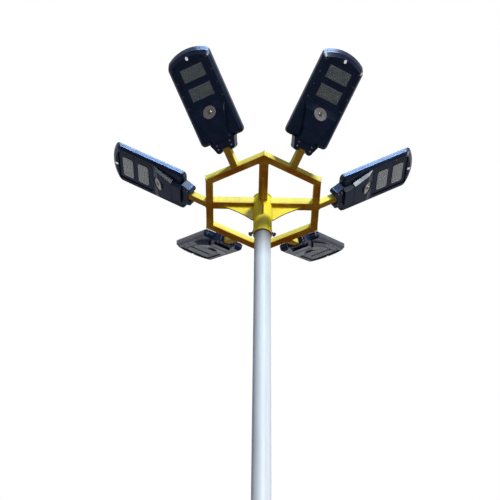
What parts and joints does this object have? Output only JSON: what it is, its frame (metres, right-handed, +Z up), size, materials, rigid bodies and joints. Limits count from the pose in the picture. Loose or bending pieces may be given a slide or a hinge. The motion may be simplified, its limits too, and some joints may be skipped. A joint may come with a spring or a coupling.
{
  "type": "solar street light pole",
  "caption": "Straight white pole on a bolted base plate, with a yellow sleeved hub, spokes and hexagonal ring that carry tilted all-in-one solar lamps.",
  "frame": {"origin": "centre of the base plate's underside, on the pole's axis", "axes": "+Z up the pole; -Y towards the front corner of the ring, with a lamp either side of it; +X through the right-hand lamp"},
  "size_m": [1.7278, 1.565, 6.3658],
  "materials": {
    "white_paint": "off-white gloss paint on steel pipe",
    "yellow_paint": "yellow gloss enamel on welded steel tube",
    "bolt_steel": "dull blackened steel",
    "lamp_casting": "blue-black textured powder coat on cast aluminium",
    "solar_glass": "toughened glass over dark blue solar cells",
    "lens_plastic": "moulded lens plate over light chips",
    "sensor_plastic": "grey moulded plastic"
  },
  "bodies": {
    "root": {"base_plate": "white_paint", "base_ribs": "white_paint", "pole": "white_paint", "hub_sleeve": "yellow_paint", "hub_cap": "yellow_paint", "set_bolts": "bolt_steel", "set_nuts": "bolt_steel", "hub_gussets": "yellow_paint", "spoke_right": "yellow_paint", "spoke_back": "yellow_paint", "spoke_left": "yellow_paint", "spoke_front": "yellow_paint", "ring_side_right": "yellow_paint", "ring_side_back_right": "yellow_paint", "ring_side_back_left": "yellow_paint", "ring_side_left": "yellow_paint", "ring_side_front_left": "yellow_paint", "ring_side_front_right": "yellow_paint", "lamp_arms": "yellow_paint", "lamp_right_bracket": "lamp_casting", "lamp_back_right_bracket": "lamp_casting", "lamp_back_left_bracket": "lamp_casting", "lamp_left_bracket": "lamp_casting", "lamp_front_left_bracket": "lamp_casting", "lamp_front_right_bracket": "lamp_casting", "lamp_right_housing": "lamp_casting", "lamp_back_right_housing": "lamp_casting", "lamp_back_left_housing": "lamp_casting", "lamp_left_housing": "lamp_casting", "lamp_front_left_housing": "lamp_casting", "lamp_front_right_housing": "lamp_casting", "lamp_right_solar_panel": "solar_glass", "lamp_back_right_solar_panel": "solar_glass", "lamp_back_left_solar_panel": "solar_glass", "lamp_left_solar_panel": "solar_glass", "lamp_front_left_solar_panel": "solar_glass", "lamp_front_right_solar_panel": "solar_glass", "lamp_right_lens_plates": "lens_plastic", "lamp_back_right_lens_plates": "lens_plastic", "lamp_back_left_lens_plates": "lens_plastic", "lamp_left_lens_plates": "lens_plastic", "lamp_front_left_lens_plates": "lens_plastic", "lamp_front_right_lens_plates": "lens_plastic", "motion_sensors": "sensor_plastic"}
  },
  "joints": []
}
